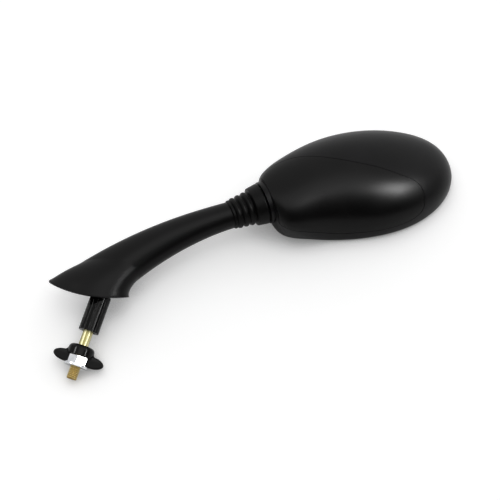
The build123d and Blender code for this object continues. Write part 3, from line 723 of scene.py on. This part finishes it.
# Housing: the egg-shaped shell, moulded in black plastic with a fine grain, and
# screwed to the ball socket from inside. Its edge frames the glass.
housing_colour = (0.0024, 0.0023, 0.0026, 1.0)
housing_roughness = 0.33
housing_grain = 0.02
housing_black = satin_black(
    "housing_black", housing_colour, housing_roughness, housing_grain, plastic_gloss
)
dress("housing_shell", housing_black)

# Front cover: a teardrop of the same plastic, let in flush and held by three
# screws from inside. Its skin is a touch smoother, so the light gathers on it.
cover_colour = (0.0018, 0.0017, 0.0017, 1.0)
cover_roughness = 0.31
cover_grain = 0.01
cover_black = satin_black(
    "cover_black", cover_colour, cover_roughness, cover_grain, plastic_gloss
)
dress("front_cover", cover_black)

# Mirror glass: float glass silvered on its back, bonded with foam tape to a
# plastic plate that is screwed into the housing's bosses. A wiped film dulls it.
glass_index = 1.5
glass_green = (0.80, 0.84, 0.85, 1.0)
glass_clear = (0.86, 0.88, 0.89, 1.0)
wipe_scale = 14.0
silvered, shader, build = new_finish(
    "silvered", Metallic=1.0, Coat_Weight=0.6, Coat_Roughness=0.01, Coat_IOR=glass_index
)
where = build.node("ShaderNodeTexCoord", out="Object")
wipe = build.noise(where, wipe_scale, 4.0, 0.6)
build.blend(wipe.clamped(0.3, 0.8), glass_green, glass_clear).to(shader, "Base Color")
(0.012 + 0.03 * wipe.clamped(0.5, 0.8)).to(shader, "Roughness")
dress("mirror_glass", silvered)

foam_dark = (0.03, 0.03, 0.03, 1.0)
foam_light = (0.09, 0.09, 0.09, 1.0)
foam_scale = 1600.0
foam_depth = 0.0001
foam_tape, shader, build = new_finish("foam_tape", Specular_IOR_Level=0.2)
where = build.node("ShaderNodeTexCoord", out="Object")
cells = build.node(
    "ShaderNodeTexVoronoi", {}, {"Vector": where, "Scale": foam_scale}, out="Distance"
)
build.blend(cells, foam_dark, foam_light).to(shader, "Base Color")
(0.75 + 0.2 * cells).to(shader, "Roughness")
grain_bump(build, shader, cells, 0.5, foam_depth)
dress("adhesive_pad", foam_tape)

plate_colour = (0.02, 0.02, 0.021, 1.0)
plate_roughness = 0.5
plate_grain = 0.15
plate_gloss = 0.4
plate_black = satin_black("plate_black", plate_colour, plate_roughness, plate_grain, plate_gloss)
dress("backing_plate", plate_black)

# Camera: a normal lens on a stand, looking down on the mirror as it lies on its
# glass. It is aimed so that the frame's origin falls on its pixel in the photo.
camera_el = radians(-16.0)
camera_roll = radians(17.8)
camera_reach = 0.680
camera_focal = 920.0
sensor_width = 36.0
photo_width = 500.0
origin_pixel = (101.2, 296.4)
forward = Vector((0.0, cos(camera_el), -sin(camera_el)))
level = Vector((1.0, 0.0, 0.0))
upright = level.cross(forward)
image_right = cos(camera_roll) * level + sin(camera_roll) * upright
image_up = -sin(camera_roll) * level + cos(camera_roll) * upright
aside = (origin_pixel[0] - photo_width / 2) / camera_focal * camera_reach
above = (photo_width / 2 - origin_pixel[1]) / camera_focal * camera_reach
camera_place = -(aside * image_right + above * image_up + camera_reach * forward)
camera_turn = Matrix((image_right, image_up, -forward)).transposed().to_4x4()
lens = bpy.data.cameras.new("camera")
lens.sensor_width = sensor_width
lens.lens = sensor_width * camera_focal / photo_width
camera = bpy.data.objects.new("camera", lens)
camera.matrix_world = Matrix.Translation(camera_place) @ camera_turn
bpy.context.collection.objects.link(camera)
bpy.context.scene.camera = camera

# Table: a white sheet that the mirror lies on, with the housing's rim touching it.
# It shows only from above. Mirrored rays pass it close to the glass and where the
# mirror covers it, so that the glass shows the room.
outboard = Vector((0.684, 0.048, 0.728))
table_tilt = 0.0068
table_low = -0.0203
table_reach = 3.0
glass_gap = 0.004
shade_reach = 0.022
shade_samples = 8
table_glow = 0.22
paper_shade = (0.08, 0.08, 0.085, 1.0)
paper_white = (0.95, 0.95, 0.95, 1.0)
table_up = (head_out - table_tilt * outboard).normalized()
table_across = (image_right - image_right.dot(table_up) * table_up).normalized()
table_away = table_up.cross(table_across)
mesh = bpy.data.meshes.new("table")
corners = [
    table_low * table_up + table_reach * (x * table_across + y * table_away)
    for x, y in ((-1, -1), (1, -1), (1, 1), (-1, 1))
]
mesh.from_pydata(corners, [], [(0, 1, 2, 3)])
table = bpy.data.objects.new("table", mesh)
bpy.context.collection.objects.link(table)
table_white = bpy.data.materials.new("table_white")
table_white.use_nodes = True
nodes = table_white.node_tree.nodes
nodes.clear()
build = Wire(table_white.node_tree)
from_above = 1 - build.node("ShaderNodeNewGeometry", out="Backfacing")
seen = build.node("ShaderNodeLightPath", out="Is Camera Ray")
mirrored = build.node("ShaderNodeLightPath", out="Is Glossy Ray")
far = build.node("ShaderNodeLightPath", out="Ray Length").math("GREATER_THAN", glass_gap)
open_sky = build.node(
    "ShaderNodeAmbientOcclusion", {"samples": shade_samples}, {"Distance": shade_reach}, out="AO"
)
shown = from_above * seen.math("MAXIMUM", mirrored * far * open_sky.clamped(0.0, 0.35))
# Painted shadow: the sheet's colour darkens to paper_shade where ambient occlusion finds the mirror
# close. This deepens its contact shadows on top of the lit ones.
paper_with_painted_shadow = build.blend(open_sky.clamped(0.05, 0.85), paper_shade, paper_white)
lit = build.node("ShaderNodeBsdfDiffuse", {}, {"Color": paper_with_painted_shadow}, out="BSDF")
glow = build.node("ShaderNodeEmission", {}, {"Strength": seen * table_glow}, out="Emission")
sheet = build.node("ShaderNodeAddShader", {}, {0: lit, 1: glow}, out="Shader")
clear = build.node("ShaderNodeBsdfTransparent", out="BSDF")
side = build.node("ShaderNodeMixShader", {}, {0: shown, 1: clear, 2: sheet}, out="Shader")
end = nodes.new("ShaderNodeOutputMaterial")
table_white.node_tree.links.new(side.socket, end.inputs["Surface"])
mesh.materials.append(table_white)

# Studio: a white room, brightest behind the mirror and dark on the photographer's
# side. One soft box with a grid reaches only the mirror's head, and two small
# strip lamps put a bright line on each side of the stud and nut.
room_fill = 0.34
overhead_light = 1.40
behind_light = 0.74
below_light = 0.45
photographer_shade = 0.86
world = bpy.data.worlds.new("studio")
bpy.context.scene.world = world
world.use_nodes = True
nodes = world.node_tree.nodes
nodes.clear()
build = Wire(world.node_tree)
way = build.node("ShaderNodeTexCoord", out="Generated")


def studio_way(azimuth, elevation):
    """Direction in the room: azimuth from the image's right to its top, elevation off the table."""
    flat = cos(radians(azimuth)) * table_across + sin(radians(azimuth)) * table_away
    return cos(radians(elevation)) * flat + sin(radians(elevation)) * table_up


def near_way(azimuth, elevation, inner, outer):
    """1 within an inner angle of a way in the room, 0 outside an outer angle, smooth between."""
    facing = build.node(
        "ShaderNodeVectorMath",
        {"operation": "DOT_PRODUCT"},
        {0: way, 1: studio_way(azimuth, elevation)},
        out="Value",
    )
    return facing.clamped(cos(radians(outer)), cos(radians(inner)))


overhead = near_way(azimuth=-35.0, elevation=74.0, inner=4.0, outer=32.0)
behind = near_way(azimuth=85.0, elevation=40.0, inner=25.0, outer=88.0)
photographer = near_way(azimuth=-54.0, elevation=22.0, inner=14.0, outer=44.0)
below = near_way(azimuth=-60.0, elevation=-75.0, inner=5.0, outer=85.0)
room = room_fill + overhead_light * overhead + behind_light * behind + below_light * below
room = room * (1 - photographer_shade * photographer)
camera_ray = build.node("ShaderNodeLightPath", out="Is Camera Ray")
strength = camera_ray + (1 - camera_ray) * room
light = build.node(
    "ShaderNodeBackground", {}, {"Color": (1.0, 1.0, 1.0, 1.0), "Strength": strength}
)
end = nodes.new("ShaderNodeOutputWorld")
world.node_tree.links.new(light.socket, end.inputs["Surface"])


def grid_lamp(name, aim, lamp_way, reach, width, height, watts, spread):
    """A rectangular lamp with a grid, aimed at a point from a way; only reflections show it."""
    lamp_light = bpy.data.lights.new(name, "AREA")
    lamp_light.shape = "RECTANGLE"
    lamp_light.size = width
    lamp_light.size_y = height
    lamp_light.energy = watts
    lamp_light.spread = spread
    lamp = bpy.data.objects.new(name, lamp_light)
    lamp.location = aim + reach * lamp_way
    lamp.rotation_mode = "QUATERNION"
    lamp.rotation_quaternion = lamp_way.to_track_quat("Z", "Y")
    lamp.visible_diffuse = False
    bpy.context.collection.objects.link(lamp)


head_middle = Vector((0.165, -0.02, 0.150))
grid_lamp(
    "side_box",
    aim=head_middle,
    lamp_way=studio_way(azimuth=-14.0, elevation=46.0),
    reach=0.5,
    width=0.20,
    height=0.16,
    watts=0.20,
    spread=radians(40.0),
)

stud_middle = Vector((0.0, 0.0, -0.035))
strip_rise = 0.13
for name, turn in (("left_strip", radians(-46.0)), ("right_strip", radians(50.0))):
    grid_lamp(
        name,
        aim=stud_middle,
        lamp_way=Vector((sin(turn), -cos(turn), strip_rise)).normalized(),
        reach=0.3,
        width=0.03,
        height=0.10,
        watts=0.0062,
        spread=radians(30.0),
    )

bpy.context.scene.view_settings.view_transform = "Standard"
